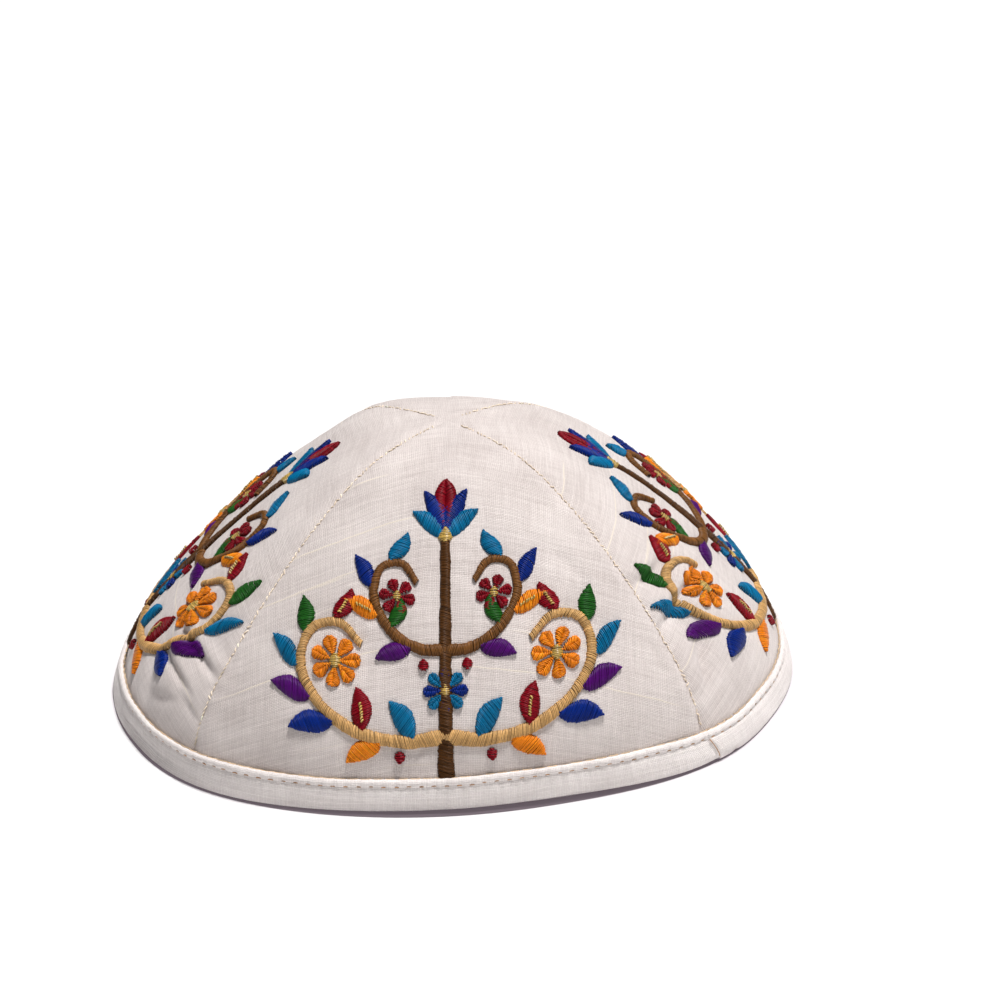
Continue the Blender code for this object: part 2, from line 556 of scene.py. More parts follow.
def get_points(mesh: bpy.types.Mesh) -> np.ndarray:
    """Reads all of a mesh's points at once."""
    points = np.empty(len(mesh.vertices) * 3, dtype=np.float32)
    mesh.vertices.foreach_get("co", points)
    return points.reshape(-1, 3).astype(float)


def set_pattern(mesh: bpy.types.Mesh, pattern: np.ndarray) -> None:
    """Keeps each point's place on the cloth's flat pattern as the mesh's one UV map.

    Args:
        mesh: The mesh.
        pattern: One place for each point, in metres.
    """
    for layer in list(mesh.uv_layers):
        mesh.uv_layers.remove(layer)
    corners = np.empty(len(mesh.loops), dtype=np.int32)
    mesh.loops.foreach_get("vertex_index", corners)
    layer = mesh.uv_layers.new(name="pattern")
    layer.data.foreach_set("uv", pattern[corners].astype(np.float32).ravel())


def joined_mesh(name: str, points: np.ndarray, quads: np.ndarray) -> bpy.types.Object:
    """Makes one smooth piece from many small closed forms.

    Args:
        name: The piece's name.
        points: All the points.
        quads: Rows of four point numbers.

    Returns:
        The piece.
    """
    mesh = bpy.data.meshes.new(name)
    mesh.vertices.add(len(points))
    mesh.loops.add(quads.size)
    mesh.polygons.add(len(quads))
    mesh.loops.foreach_set("vertex_index", quads.astype(np.int32).ravel())
    mesh.polygons.foreach_set("loop_start", np.arange(0, quads.size, 4, dtype=np.int32))
    set_points(mesh, points)
    mesh.update(calc_edges=True)
    mesh.validate()
    mesh.shade_smooth()
    piece = bpy.data.objects.new(name, mesh)
    bpy.context.scene.collection.objects.link(piece)
    return piece


def threads(name: str, centre: np.ndarray, facing: np.ndarray, radius: float, colour: np.ndarray,
            finish: bpy.types.Material, spread: float = 1.0, edge: float = 0.9) -> bpy.types.Object:
    """Makes one piece of many short threads, each a closed tube with four sides.

    Args:
        name: The piece's name.
        centre: The points that each thread follows.
        facing: The cloth's direction at each point.
        radius: The threads' radius.
        colour: Each thread's colour.
        finish: The threads' material.
        spread: How much wider than high they are.
        edge: How bright their sides are painted, as a share of their tops: painted shade where neighbouring threads
            meet.

    Returns:
        The piece.
    """
    along = np.gradient(centre, axis=1)
    sideways = np.cross(along, facing)
    sideways /= np.maximum(np.linalg.norm(sideways, axis=2, keepdims=True), 1e-12)
    above = np.cross(sideways, along)
    above /= np.maximum(np.linalg.norm(above, axis=2, keepdims=True), 1e-12)
    corners = [centre + way * radius for way in (sideways * spread, above, -sideways * spread, -above)]
    points = np.stack(corners, axis=2).reshape(-1, 3)
    count, rings = centre.shape[:2]
    base = (np.arange(count) * rings * 4)[:, None, None, None]
    ring = (np.arange(rings - 1) * 4)[None, :, None, None]
    s = np.arange(4)
    wall = np.stack([s, (s + 1) % 4, (s + 1) % 4 + 4, s + 4], axis=-1)[None, None]
    sides = (base + ring + wall).reshape(-1, 4)
    first = base[:, 0, 0] + np.array([[3, 2, 1, 0]])
    last = base[:, 0, 0] + (rings - 1) * 4 + np.array([[0, 1, 2, 3]])
    piece = joined_mesh(name, points, np.concatenate([sides, first, last]))
    # Painted shade and highlight: each thread's colour is darkened on its sides, where neighbours meet, and lifted 8%
    # on its top.
    shares = np.array([edge, 1.08, edge, edge])
    rows = np.ones((count, rings, 4, 4))
    rows[..., :3] = np.clip(colour[:, None, None] * shares[:, None], 0, 1)
    data = piece.data.attributes.new("thread", "FLOAT_COLOR", "POINT").data
    data.foreach_set("color", rows.astype(np.float32).ravel())
    piece.data.materials.append(finish)
    return piece


@dataclass
class Graph:
    """A material's node tree, with short calls for the nodes that a finish needs."""

    tree: bpy.types.NodeTree

    def feed(self, socket: bpy.types.NodeSocket, value: object) -> None:
        """Links a socket into an input, or sets the input's own value."""
        if isinstance(value, bpy.types.NodeSocket):
            self.tree.links.new(value, socket)
        else:
            socket.default_value = value

    def sum(self, kind: str, *values: object) -> bpy.types.NodeSocket:
        """Adds a Math node.

        Args:
            kind: The operation.
            values: Its inputs, sockets or numbers.

        Returns:
            Its result.
        """
        node = self.tree.nodes.new("ShaderNodeMath")
        node.operation = kind
        for socket, value in zip(node.inputs, values):
            self.feed(socket, value)
        return node.outputs[0]

    def noise(self, place: object, scale: float, detail: float = 2.0) -> bpy.types.NodeSocket:
        """Adds a Noise Texture.

        Args:
            place: Where it is read.
            scale: Its scale.
            detail: Its detail.

        Returns:
            Its value.
        """
        node = self.tree.nodes.new("ShaderNodeTexNoise")
        self.feed(node.inputs["Vector"], place)
        node.inputs["Scale"].default_value = scale
        node.inputs["Detail"].default_value = detail
        return node.outputs["Fac"]

    def vector(self, x: object, y: object, z: object = 0.0) -> bpy.types.NodeSocket:
        """Joins three values into a vector."""
        node = self.tree.nodes.new("ShaderNodeCombineXYZ")
        for socket, value in zip(node.inputs, (x, y, z)):
            self.feed(socket, value)
        return node.outputs[0]

    def ramp(self, value: object, low: float, high: float, to_low: float, to_high: float) -> bpy.types.NodeSocket:
        """Maps a range of values onto another and stops at its ends."""
        node = self.tree.nodes.new("ShaderNodeMapRange")
        for socket, number in zip(node.inputs, (value, low, high, to_low, to_high)):
            self.feed(socket, number)
        return node.outputs[0]

    def mix(self, share: object, first: object, second: object) -> bpy.types.NodeSocket:
        """Mixes two colours."""
        node = self.tree.nodes.new("ShaderNodeMix")
        node.data_type = "RGBA"
        self.feed(node.inputs[0], share)
        for socket, value in zip(node.inputs[6:8], (first, second)):
            self.feed(socket, (*value, 1.0) if isinstance(value, tuple) else value)
        return node.outputs[2]

    def bump(self, height: object, distance: float, strength: float, normal: object = None) -> bpy.types.NodeSocket:
        """Adds a Bump node and gives its normal."""
        node = self.tree.nodes.new("ShaderNodeBump")
        node.inputs["Strength"].default_value = strength
        node.inputs["Distance"].default_value = distance
        self.feed(node.inputs["Height"], height)
        if normal is not None:
            self.feed(node.inputs["Normal"], normal)
        return node.outputs[0]


@dataclass(frozen=True)
class WovenCloth:
    """A plain weave on a piece's pattern coordinates, with slubs and uneven threads."""

    name: str
    colour: tuple[float, float, float]
    # shade is the dark end of the cloth's tone: the yarn's own uneven tone, and painted shade in the weave's gaps.
    shade: tuple[float, float, float]
    slub_colour: tuple[float, float, float] = linear(238, 227, 210)
    pitch: float = 0.43 * MM
    relief: float = 0.09 * MM
    unevenness: float = 0.6
    slubs: float = 1.0
    roughness: float = 0.85

    def material(self) -> bpy.types.Material:
        """Builds the finish.

        Returns:
            The material.
        """
        material = bpy.data.materials.new(self.name)
        material.use_nodes = True
        graph = Graph(material.node_tree)
        shader = material.node_tree.nodes["Principled BSDF"]
        place = material.node_tree.nodes.new("ShaderNodeUVMap")
        place.uv_map = "pattern"
        split = material.node_tree.nodes.new("ShaderNodeSeparateXYZ")
        graph.feed(split.inputs[0], place.outputs[0])
        u, v = split.outputs[0], split.outputs[1]
        drift_u = graph.ramp(graph.noise(graph.vector(u, v, 3.0), 90, 3), 0.3, 0.7, -0.8 * self.pitch, 0.8 * self.pitch)
        drift_v = graph.ramp(graph.noise(graph.vector(u, v, 9.0), 90, 3), 0.3, 0.7, -0.8 * self.pitch, 0.8 * self.pitch)
        x = graph.sum("DIVIDE", graph.sum("ADD", u, drift_u), self.pitch)
        y = graph.sum("DIVIDE", graph.sum("ADD", v, drift_v), self.pitch)
        warp_end, weft_pick = graph.sum("FLOOR", x), graph.sum("FLOOR", y)
        warp = graph.sum("SINE", graph.sum("MULTIPLY", graph.sum("FRACT", x), math.pi))
        weft = graph.sum("SINE", graph.sum("MULTIPLY", graph.sum("FRACT", y), math.pi))
        over = graph.sum("FLOORED_MODULO", graph.sum("ADD", warp_end, weft_pick), 2.0)
        warp_top = graph.sum("MULTIPLY", warp, graph.sum("MULTIPLY_ADD", weft, 0.45, 0.55))
        weft_top = graph.sum("MULTIPLY", weft, graph.sum("MULTIPLY_ADD", warp, 0.45, 0.55))
        picked = graph.sum("MULTIPLY_ADD", over, graph.sum("SUBTRACT", warp_top, weft_top), weft_top)
        pick_run = graph.vector(graph.sum("MULTIPLY", x, 0.03), graph.sum("MULTIPLY", weft_pick, 0.73), 0.0)
        end_run = graph.vector(graph.sum("MULTIPLY", warp_end, 0.71), graph.sum("MULTIPLY", y, 0.03), 5.0)
        slub_run = graph.vector(graph.sum("MULTIPLY", x, 0.007), graph.sum("MULTIPLY", weft_pick, 0.61), 8.0)
        pick = graph.ramp(graph.noise(pick_run, 1.0, 2), 0.3, 0.7, -1, 1)
        end = graph.ramp(graph.noise(end_run, 1.0, 2), 0.3, 0.7, -0.6, 0.6)
        speck = graph.ramp(graph.noise(graph.vector(x, y, 2.0), 0.9, 1), 0.3, 0.7, -0.5, 0.5)
        uneven = graph.sum("ADD", graph.sum("ADD", pick, end), speck)
        slub = graph.ramp(graph.noise(slub_run, 1.0, 0), 0.745, 0.79, 0.0, self.slubs)
        cloud = graph.ramp(graph.noise(graph.vector(u, v, 1.0), 60, 4), 0.3, 0.7, 0.30, 0.52)
        tone = graph.sum("MULTIPLY_ADD", uneven, 0.20 * self.unevenness, cloud)
        # picked lightens the colour on the threads' crowns and darkens it in the gaps between them: painted shade of
        # the weave's relief; cloud and uneven are the yarn's own tone.
        tone = graph.sum("MULTIPLY_ADD", picked, 0.42, tone)
        colour = graph.mix(graph.ramp(tone, 0.0, 1.0, 0.0, 1.0), self.shade, self.colour)
        colour = graph.mix(graph.sum("MULTIPLY", slub, 0.55), colour, self.slub_colour)
        graph.feed(shader.inputs["Base Color"], colour)
        height = graph.sum("MULTIPLY_ADD", uneven, 0.30 * self.unevenness, picked)
        height = graph.sum("MULTIPLY_ADD", slub, 0.7, height)
        graph.feed(shader.inputs["Normal"], graph.bump(height, self.relief, 1.0))
        shader.inputs["Roughness"].default_value = self.roughness
        shader.inputs["Sheen Weight"].default_value = 0.25
        shader.inputs["Sheen Roughness"].default_value = 0.5
        shader.inputs["Specular IOR Level"].default_value = 0.12
        return material


@dataclass(frozen=True)
class SilkyThread:
    """Embroidery floss: its colour is the piece's thread attribute, with fine strands along it."""

    name: str
    roughness: float = 0.40
    sheen: float = 0.0
    gloss: float = 0.18

    def material(self) -> bpy.types.Material:
        """Builds the finish.

        Returns:
            The material.
        """
        material = bpy.data.materials.new(self.name)
        material.use_nodes = True
        graph = Graph(material.node_tree)
        shader = material.node_tree.nodes["Principled BSDF"]
        attribute = material.node_tree.nodes.new("ShaderNodeAttribute")
        attribute.attribute_name = "thread"
        where = material.node_tree.nodes.new("ShaderNodeTexCoord").outputs["Object"]
        fuzz = graph.noise(where, 2600, 2)
        patch = graph.noise(where, 160, 2)
        shade = graph.sum("MULTIPLY", graph.ramp(fuzz, 0.3, 0.7, 0.82, 1.12), graph.ramp(patch, 0.3, 0.7, 0.92, 1.06))
        scaled = material.node_tree.nodes.new("ShaderNodeVectorMath")
        scaled.operation = "SCALE"
        graph.feed(scaled.inputs[0], attribute.outputs["Color"])
        graph.feed(scaled.inputs["Scale"], shade)
        graph.feed(shader.inputs["Base Color"], scaled.outputs[0])
        graph.feed(shader.inputs["Normal"], graph.bump(fuzz, 0.05 * MM, 0.5))
        shader.inputs["Roughness"].default_value = self.roughness
        shader.inputs["Sheen Weight"].default_value = self.sheen
        shader.inputs["Specular IOR Level"].default_value = self.gloss
        return material


@dataclass
class Panel:
    """One gore of the crown's cloth."""

    gore: Gore
    cloth: bpy.types.Material
    rows: int = 140
    crowding: float = 1.22

    @property
    def name(self) -> str:
        """The piece's name."""
        return f"cloth_{self.gore.side.name.lower()}"

    def build(self) -> bpy.types.Object:
        """Shapes the panel from a flat grid with one corner at the apex, and gives it its wall.

        Returns:
            The piece.
        """
        deselect()
        bpy.ops.mesh.primitive_grid_add(x_subdivisions=self.rows, y_subdivisions=self.rows, size=1, location=(0.5, 0.5, 0))
        piece = bpy.context.object
        piece.name = piece.data.name = self.name
        bpy.ops.object.transform_apply(location=True, rotation=False, scale=False)
        mesh = piece.data
        flat = get_points(mesh)
        down = np.maximum(flat[:, 0], flat[:, 1])
        along = np.where(down > 1e-6, (flat[:, 1] - flat[:, 0]) / np.maximum(down, 1e-6), 0)
        along = np.sign(along) * (1 - (1 - np.minimum(np.abs(along), 1)) ** self.crowding)
        form = self.gore.form
        lowest = float(form.rise_at(2 * MM))
        rise = QUARTER - down * (QUARTER - lowest)
        turn = self.gore.turn + along * math.pi / 4
        pattern = self.gore.to_pattern(turn, rise)
        set_points(mesh, form.place(turn, rise, self.gore.relief(pattern)))
        set_pattern(mesh, self.gore.weave(pattern))
        bpy.ops.object.mode_set(mode="EDIT")
        bpy.ops.mesh.select_all(action="SELECT")
        bpy.ops.mesh.normals_make_consistent(inside=False)
        bpy.ops.object.mode_set(mode="OBJECT")
        if mesh.polygons[0].normal.dot(mesh.polygons[0].center) < 0:
            mesh.flip_normals()
        apply_modifier(piece, "SOLIDIFY", thickness=form.wall, offset=-1.0)
        mesh.shade_smooth()
        mesh.set_sharp_from_angle(angle=math.radians(60))
        mesh.materials.append(self.cloth)
        return piece

    def dress(self, piece: bpy.types.Object, sewn_on: list[bpy.types.Object]) -> None:
        """Seats the panel on its solid.

        Args:
            piece: The panel.
            sewn_on: The embroidery on it. Not used.
        """
        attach(piece, "root")
        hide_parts(f"panel_{self.gore.side.name.lower()}")
        self.gore.area


@dataclass
class Stitchery:
    """Collects stitches on a panel and turns them into one piece of joined threads."""

    gore: Gore
    dice: np.random.Generator
    thickness: float = 0.42 * MM
    spread: float = 1.30
    # edge darkens the threads' sides: painted shade between neighbouring threads.
    edge: float = 0.35
    starts: list = field(default_factory=list)
    ends: list = field(default_factory=list)
    heights: list = field(default_factory=list)
    colours: list = field(default_factory=list)

    def add(self, start: np.ndarray, end: np.ndarray, height: float, colour: tuple[float, float, float],
            mirrored: bool = True) -> None:
        """Adds a run of stitches.

        Args:
            start: Pattern places where they start.
            end: Pattern places where they end.
            height: How high their middles stand.
            colour: The thread's colour.
            mirrored: Whether the same run is sewn on the other side of the middle line too.
        """
        for side in (1, -1) if mirrored else (1,):
            flip = np.array([side, 1])
            count = len(start)
            jitter = self.dice.normal(0, 0.06 * MM, (2, count, 2))
            slow = np.repeat(self.dice.normal(0, 0.05, count // 4 + 1), 4)[:count, None]
            tint = self.dice.normal(1, 0.13, (count, 1)) + slow
            self.starts.append(start * flip + jitter[0])
            self.ends.append(end * flip + jitter[1])
            self.heights.append(height * self.dice.normal(1, 0.07, count))
            self.colours.append(np.clip(np.array(colour) * tint, 0, 1))

    def build(self, name: str, finish: bpy.types.Material) -> bpy.types.Object:
        """Turns every stitch into a short arched thread.

        Args:
            name: The piece's name.
            finish: The thread's material.

        Returns:
            The piece.
        """
        start, end = np.concatenate(self.starts), np.concatenate(self.ends)
        height, colour = np.concatenate(self.heights), np.concatenate(self.colours)
        steps = np.array([0.0, 0.10, 0.36, 0.64, 0.90, 1.0])
        arch = np.array([-0.6, 0.50, 0.96, 0.96, 0.50, -0.6])
        pattern = start[:, None] + (end - start)[:, None] * steps[None, :, None]
        out = height[:, None] * arch + self.thickness / 2
        turn, rise = self.gore.to_crown(pattern)
        centre = self.gore.form.place(turn, rise, self.gore.relief(pattern) + out)
        facing = self.gore.form.facing(turn, rise)
        return threads(name, centre, facing, self.thickness / 2, colour, finish, self.spread, self.edge)


@dataclass(frozen=True)
class Leaf:
    """A leaf on a scroll. share is its place along the scroll, side is 1 to the scroll's left and -1 to its right.

    splay is its angle away from the scroll's run, in degrees, and length and width are shares of the panel's length.
    """

    share: float
    side: int
    splay: float
    length: float
    width: float
    floss: Floss
    vein: bool = False


@dataclass(frozen=True)
class Scroll:
    """A curling stem with leaves and berries. Its knots are shares of the panel's length."""

    knots: tuple
    widths: tuple[float, float]
    floss: Floss
    leaves: tuple[Leaf, ...]
    berries: tuple


@dataclass
class Spray:
    """The embroidery of one panel: a stem, scrolls that curl to both sides, and flowers at their eyes."""

    gore: Gore
    finish: bpy.types.Material
    metal: bpy.types.Material
    seed: int = 5
    pitch: float = 0.40 * MM
    stem_widths: tuple[float, float] = (4.0 * MM, 2.2 * MM)
    top: float = 0.62

    SCROLLS = (
        Scroll(
            ((0.00, 0.165), (0.09, 0.155), (0.20, 0.175), (0.29, 0.235), (0.335, 0.315), (0.31, 0.395),
             (0.245, 0.415), (0.195, 0.37)),
            (3.6 * MM, 1.7 * MM), Floss.HONEY,
            (
                Leaf(0.12, 1, 58, 0.095, 0.046, Floss.TEAL),
                Leaf(0.24, -1, 40, 0.085, 0.042, Floss.AMBER),
                Leaf(0.31, 1, 62, 0.092, 0.046, Floss.CRIMSON, True),
                Leaf(0.42, -1, 46, 0.100, 0.048, Floss.COBALT),
                Leaf(0.53, -1, 38, 0.092, 0.046, Floss.PLUM),
                Leaf(0.64, -1, 38, 0.080, 0.042, Floss.TEAL),
                Leaf(0.76, -1, 34, 0.075, 0.040, Floss.LEAF),
                Leaf(0.88, -1, 62, 0.075, 0.038, Floss.CRIMSON, True),
            ),
            ((0.105, 0.122),),
        ),
        Scroll(
            ((0.00, 0.355), (0.06, 0.36), (0.125, 0.40), (0.165, 0.475), (0.15, 0.545), (0.10, 0.555),
             (0.068, 0.512)),
            (2.9 * MM, 1.5 * MM), Floss.CHESTNUT,
            (
                Leaf(0.20, -1, 42, 0.080, 0.040, Floss.PLUM),
                Leaf(0.36, 1, 60, 0.065, 0.034, Floss.LEAF),
                Leaf(0.46, -1, 38, 0.080, 0.040, Floss.AMBER, True),
                Leaf(0.62, -1, 34, 0.075, 0.036, Floss.COBALT),
                Leaf(0.80, -1, 48, 0.072, 0.036, Floss.TEAL),
            ),
            ((0.050, 0.322),),
        ),
    )

    def lines(self) -> np.ndarray:
        """Gives points a millimetre or so apart along the stem and scrolls, on one side of the middle line."""
        spread = max(1, round(1.2 * MM / self.pitch))
        runs = [self.curve(np.array(scroll.knots) * self.gore.length)[0][::spread] for scroll in self.SCROLLS]
        stem = np.linspace(0.07, self.top, 50)[:, None] * np.array([[0, self.gore.length]])
        return np.vstack([*runs, stem])

    def curve(self, knots: np.ndarray) -> tuple[np.ndarray, np.ndarray]:
        """Draws a smooth line through some knots, with points one stitch apart.

        Args:
            knots: Pattern places.

        Returns:
            The points and the unit directions along the line.
        """
        padded = np.vstack([2 * knots[0] - knots[1], knots, 2 * knots[-1] - knots[-2]])
        t = np.linspace(0, 1, 40, endpoint=False)[:, None]
        runs = []
        for a, b, c, d in zip(padded, padded[1:], padded[2:], padded[3:]):
            bend = (2 * a - 5 * b + 4 * c - d) * t ** 2 + (3 * b - a - 3 * c + d) * t ** 3
            runs.append(b + 0.5 * ((c - a) * t + bend))
        fine = np.vstack([*runs, knots[-1:]])
        reach = np.concatenate([[0], np.cumsum(np.linalg.norm(np.diff(fine, axis=0), axis=1))])
        marks = np.linspace(0, reach[-1], max(3, int(reach[-1] / self.pitch)))
        points = np.stack([np.interp(marks, reach, fine[:, i]) for i in (0, 1)], axis=1)
        along = np.gradient(points, axis=0)
        return points, along / np.linalg.norm(along, axis=1, keepdims=True)

    def band(self, book: Stitchery, knots: np.ndarray, widths: tuple[float, float], floss: Floss,
             mirrored: bool = True) -> tuple[np.ndarray, np.ndarray]:
        """Fills a stem along a line with slanted satin stitches.

        Args:
            book: Where the stitches go.
            knots: The line's knots.
            widths: The stem's width at its start and its end.
            floss: The thread.
            mirrored: Whether it is sewn on both sides of the middle line.

        Returns:
            The line's points and directions.
        """
        points, along = self.curve(knots)
        left = np.stack([-along[:, 1], along[:, 0]], axis=1)
        share = np.linspace(0, 1, len(points))[:, None]
        width = widths[0] + (widths[1] - widths[0]) * share
        width = width * (1 + 0.06 * np.sin(share * 23) + 0.04 * np.sin(share * 51))
        lean = along * width * 0.16
        book.add(points - left * width / 2 - lean, points + left * width / 2 + lean, 0.75 * MM, floss.value, mirrored)
        return points, along

    def leaf(self, book: Stitchery, base: np.ndarray, angle: float, length: float, width: float, floss: Floss,
             mirrored: bool = True) -> None:
        """Fills a pointed leaf with satin stitches right across it.

        Args:
            book: Where the stitches go.
            base: Where the leaf starts.
            angle: Its direction on the pattern, in radians.
            length: Its length.
            width: Its greatest width.
            floss: The thread.
            mirrored: Whether it is sewn on both sides of the middle line.
        """
        along = np.array([math.cos(angle), math.sin(angle)])
        left = np.array([-along[1], along[0]])
        t = np.linspace(0.0, 1.0, max(6, int(length / self.pitch)))[:, None]
        half = width / 2 * np.sin(math.pi * t ** 0.85) ** 0.85 + 0.15 * MM
        bow = left * 0.05 * length * np.sin(math.pi * t)
        spine = base + along * length * t + bow
        lean = along * half * 0.30
        book.add(spine - left * half - lean, spine + left * half + lean, 0.62 * MM, floss.value, mirrored)

    def petal(self, book: Stitchery, base: np.ndarray, angle: float, length: float, width: float, floss: Floss,
              mirrored: bool = True) -> None:
        """Fills a round-tipped petal with two rows of stitches that meet along its middle, the second row's colour
        darkened as painted shade.

        Args:
            book: Where the stitches go.
            base: Where the petal starts.
            angle: Its direction on the pattern, in radians.
            length: Its length.
            width: Its greatest width.
            floss: The thread.
            mirrored: Whether it is sewn on both sides of the middle line.
        """
        along = np.array([math.cos(angle), math.sin(angle)])
        left = np.array([-along[1], along[0]])
        t = np.linspace(0.03, 0.97, max(5, int(length / self.pitch)))[:, None]
        half = width / 2 * np.sin(math.pi * t ** 1.25) ** 0.8
        spine = base + along * length * t
        # One half of each petal is painted 18% darker: painted shade, as if that half were turned from the light.
        for side, shade_share in ((1, 1.0), (-1, 0.82)):
            edge = spine + left * half * side + along * half * 0.5
            colour = tuple(c * shade_share for c in floss.value)
            book.add(spine - left * side * 0.1 * MM, edge, 0.55 * MM, colour, mirrored)

    def vein(self, book: Stitchery, base: np.ndarray, angle: float, length: float) -> None:
        """Sews a short gold rib over a leaf's middle."""
        along = np.array([math.cos(angle), math.sin(angle)])
        left = np.array([-along[1], along[0]])
        t = np.linspace(0.22, 0.62, max(5, int(0.4 * length / (0.55 * MM))))[:, None]
        spine = base + along * length * t + left * 0.05 * length * np.sin(math.pi * t)
        reach = left * 0.38 * MM + along * 0.30 * MM
        book.add(spine - reach, spine + reach, 1.15 * MM, Floss.GOLD.value)

    def disc(self, book: Stitchery, centre: np.ndarray, radius: float, floss: Floss, height: float,
             mirrored: bool = True) -> None:
        """Fills a round with level stitches.

        Args:
            book: Where the stitches go.
            centre: Its middle.
            radius: Its radius.
            floss: The thread.
            height: How high its middle stands.
            mirrored: Whether it is sewn on both sides of the middle line.
        """
        y = np.linspace(-0.93, 0.93, max(5, int(2 * radius / self.pitch))) * radius
        x = np.sqrt(np.maximum(radius ** 2 - y ** 2, 0))
        book.add(centre + np.stack([-x, y], axis=1), centre + np.stack([x, y], axis=1), height, floss.value, mirrored)

    def rosette(self, book: Stitchery, hearts: Stitchery, centre: np.ndarray, radius: float, petals: int,
                flosses: tuple[Floss, ...], turn: float = 0.0, mirrored: bool = True) -> None:
        """Sets petals round a gold heart.

        Args:
            book: Where the petals go.
            hearts: Where the heart goes.
            centre: The flower's middle.
            radius: Its radius.
            petals: How many petals.
            flosses: The petals' threads, in turn.
            turn: The first petal's direction, in radians.
            mirrored: Whether it is sewn on both sides of the middle line.
        """
        heart = radius * 0.26
        width = min(2 * math.pi * radius * 0.62 / petals, radius * 0.62)
        for i in range(petals):
            angle = turn + 2 * math.pi * i / petals
            base = centre + heart * 0.8 * np.array([math.cos(angle), math.sin(angle)])
            self.petal(book, base, angle, radius - heart * 0.8, width, flosses[i % len(flosses)], mirrored)
        self.disc(hearts, centre, heart, Floss.GOLD, 0.85 * MM, mirrored)

    def scroll(self, scroll: Scroll, scrolls: Stitchery, petals: Stitchery, hearts: Stitchery) -> None:
        """Sews a scroll with its leaves and berries on both sides of the middle line.

        Args:
            scroll: The scroll.
            scrolls: Where its stem goes.
            petals: Where its leaves go.
            hearts: Where the gold goes.
        """
        length = self.gore.length
        points, along = self.band(scrolls, np.array(scroll.knots) * length, scroll.widths, scroll.floss)
        for leaf in scroll.leaves:
            i = int(leaf.share * (len(points) - 1))
            run = math.atan2(along[i, 1], along[i, 0])
            angle = run + leaf.side * math.radians(leaf.splay)
            outwards = np.array([-along[i, 1], along[i, 0]]) * leaf.side
            base = points[i] + outwards * scroll.widths[1] * 0.55
            self.leaf(petals, base, angle, leaf.length * length, leaf.width * length, leaf.floss)
            if leaf.vein:
                self.vein(hearts, base, angle, leaf.length * length)
        for berry in scroll.berries:
            self.disc(petals, np.array(berry) * length, 1.3 * MM, Floss.CRIMSON, 0.8 * MM)

    def build(self) -> list[bpy.types.Object]:
        """Stitches the panel.

        Returns:
            The pieces of scrolls, petals and hearts.
        """
        side = self.gore.side.name.lower()
        dice = np.random.default_rng(self.seed + self.gore.side.value)
        scrolls, petals, hearts = (Stitchery(self.gore, dice) for _ in range(3))
        length = self.gore.length
        for scroll in self.SCROLLS:
            self.scroll(scroll, scrolls, petals, hearts)
        stem = np.array(((0.0, 0.07), (0.0, 0.30), (0.0, self.top))) * length
        self.band(scrolls, stem, self.stem_widths, Floss.UMBER, False)
        self.rosette(petals, hearts, np.array((0.252, 0.328)) * length, 0.056 * length, 7, (Floss.AMBER,), 0.35)
        self.rosette(petals, hearts, np.array((0.112, 0.478)) * length, 0.040 * length, 6, (Floss.CRIMSON,), 0.2)
        top = np.array((0.0, self.top)) * length
        self.leaf(petals, top, math.radians(38), 0.095 * length, 0.042 * length, Floss.TEAL)
        self.leaf(petals, top, math.radians(66), 0.120 * length, 0.044 * length, Floss.COBALT)
        self.petal(petals, top, QUARTER, 0.14 * length, 0.052 * length, Floss.CRIMSON, False)
        self.rosette(petals, hearts, np.array((0.0, 0.265)) * length, 0.05 * length, 8,
                     (Floss.COBALT, Floss.TEAL), 0.0, False)
        self.disc(hearts, top, 1.9 * MM, Floss.GOLD, 0.9 * MM, False)
        return [
            scrolls.build(f"scrolls_{side}", self.finish),
            petals.build(f"petals_{side}", self.finish),
            hearts.build(f"hearts_{side}", self.metal),
        ]

    def dress(self, pieces: list[bpy.types.Object]) -> None:
        """Seats the embroidery on the crown."""
        for piece in pieces:
            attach(piece, "root")


